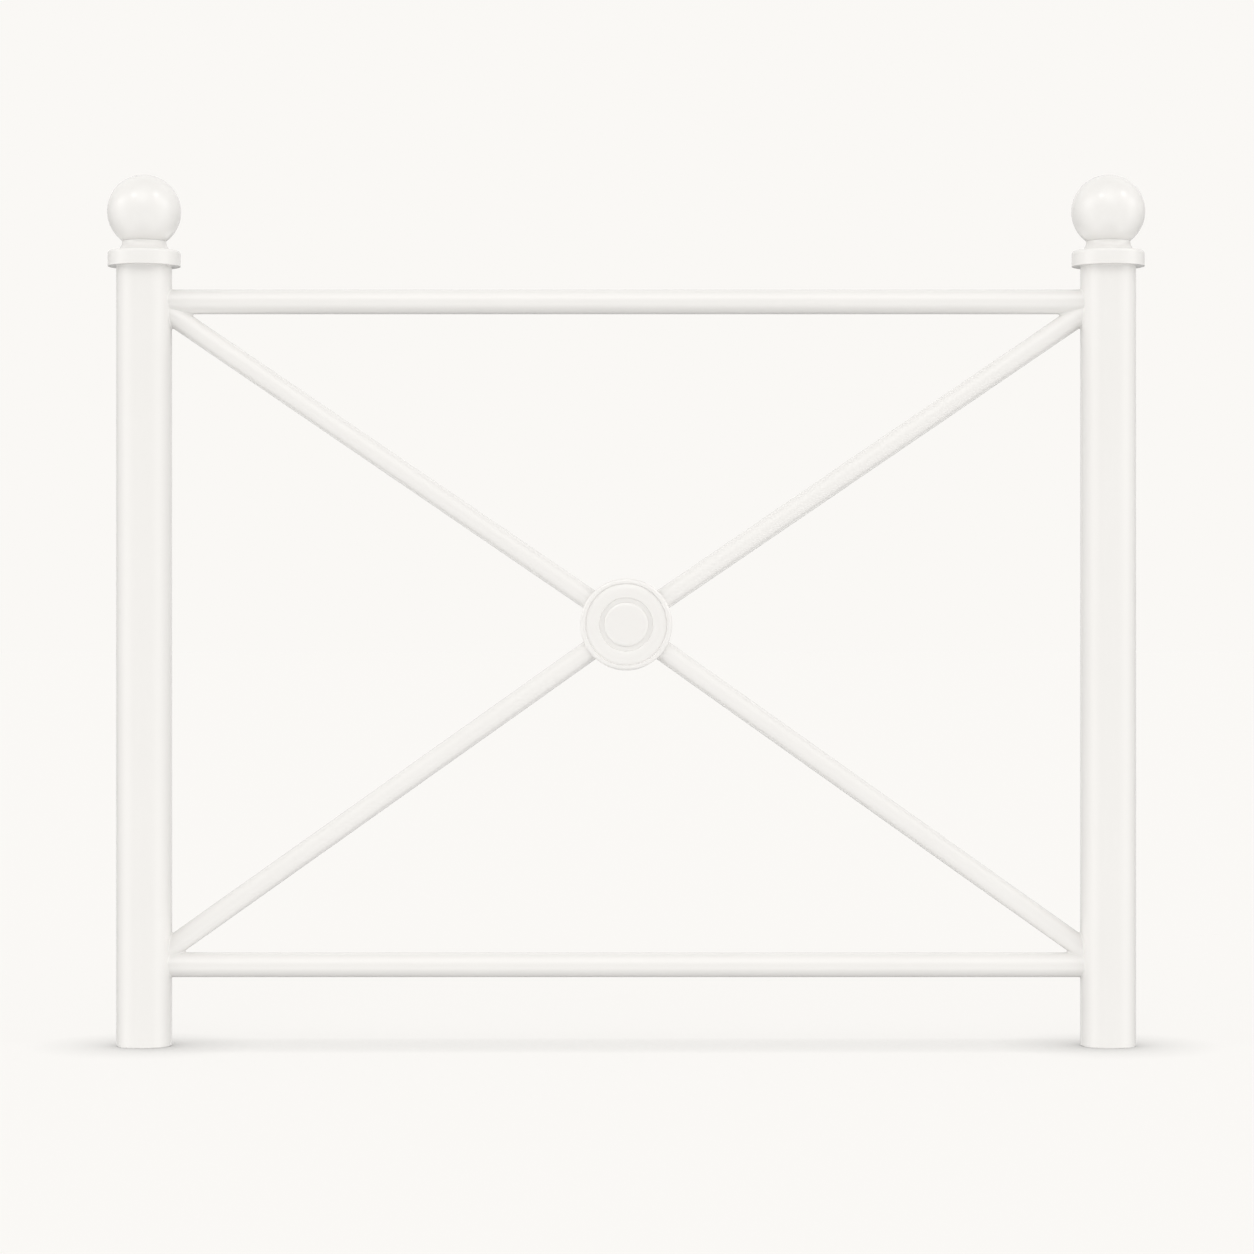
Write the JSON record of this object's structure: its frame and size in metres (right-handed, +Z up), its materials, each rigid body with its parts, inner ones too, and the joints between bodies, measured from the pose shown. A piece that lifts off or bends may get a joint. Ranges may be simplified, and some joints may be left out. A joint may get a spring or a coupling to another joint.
{
  "type": "street barrier",
  "caption": "White painted pedestrian street barrier: ball-topped round posts joined by horizontal rails and diagonal cross braces meeting at a moulded round rosette.",
  "frame": {"origin": "centre of the left post's foot, at ground level", "axes": "+X along the barrier from the left post to the right post, +Z up, and the front faces -Y"},
  "size_m": [1.13, 0.08, 0.9483],
  "materials": {
    "tube_paint": "white gloss paint on steel tube",
    "casting_paint": "white gloss paint on cast aluminium"
  },
  "bodies": {
    "root": {"bottom_rail": "tube_paint", "front_boss": "casting_paint", "front_rosette": "casting_paint", "left_ball": "casting_paint", "left_cap": "casting_paint", "left_post": "tube_paint", "lower_left_brace": "tube_paint", "lower_left_weld": "tube_paint", "lower_right_brace": "tube_paint", "lower_right_weld": "tube_paint", "rear_boss": "casting_paint", "rear_rosette": "casting_paint", "right_ball": "casting_paint", "right_cap": "casting_paint", "right_post": "tube_paint", "top_rail": "tube_paint", "upper_left_brace": "tube_paint", "upper_left_weld": "tube_paint", "upper_right_brace": "tube_paint", "upper_right_weld": "tube_paint"}
  },
  "joints": []
}
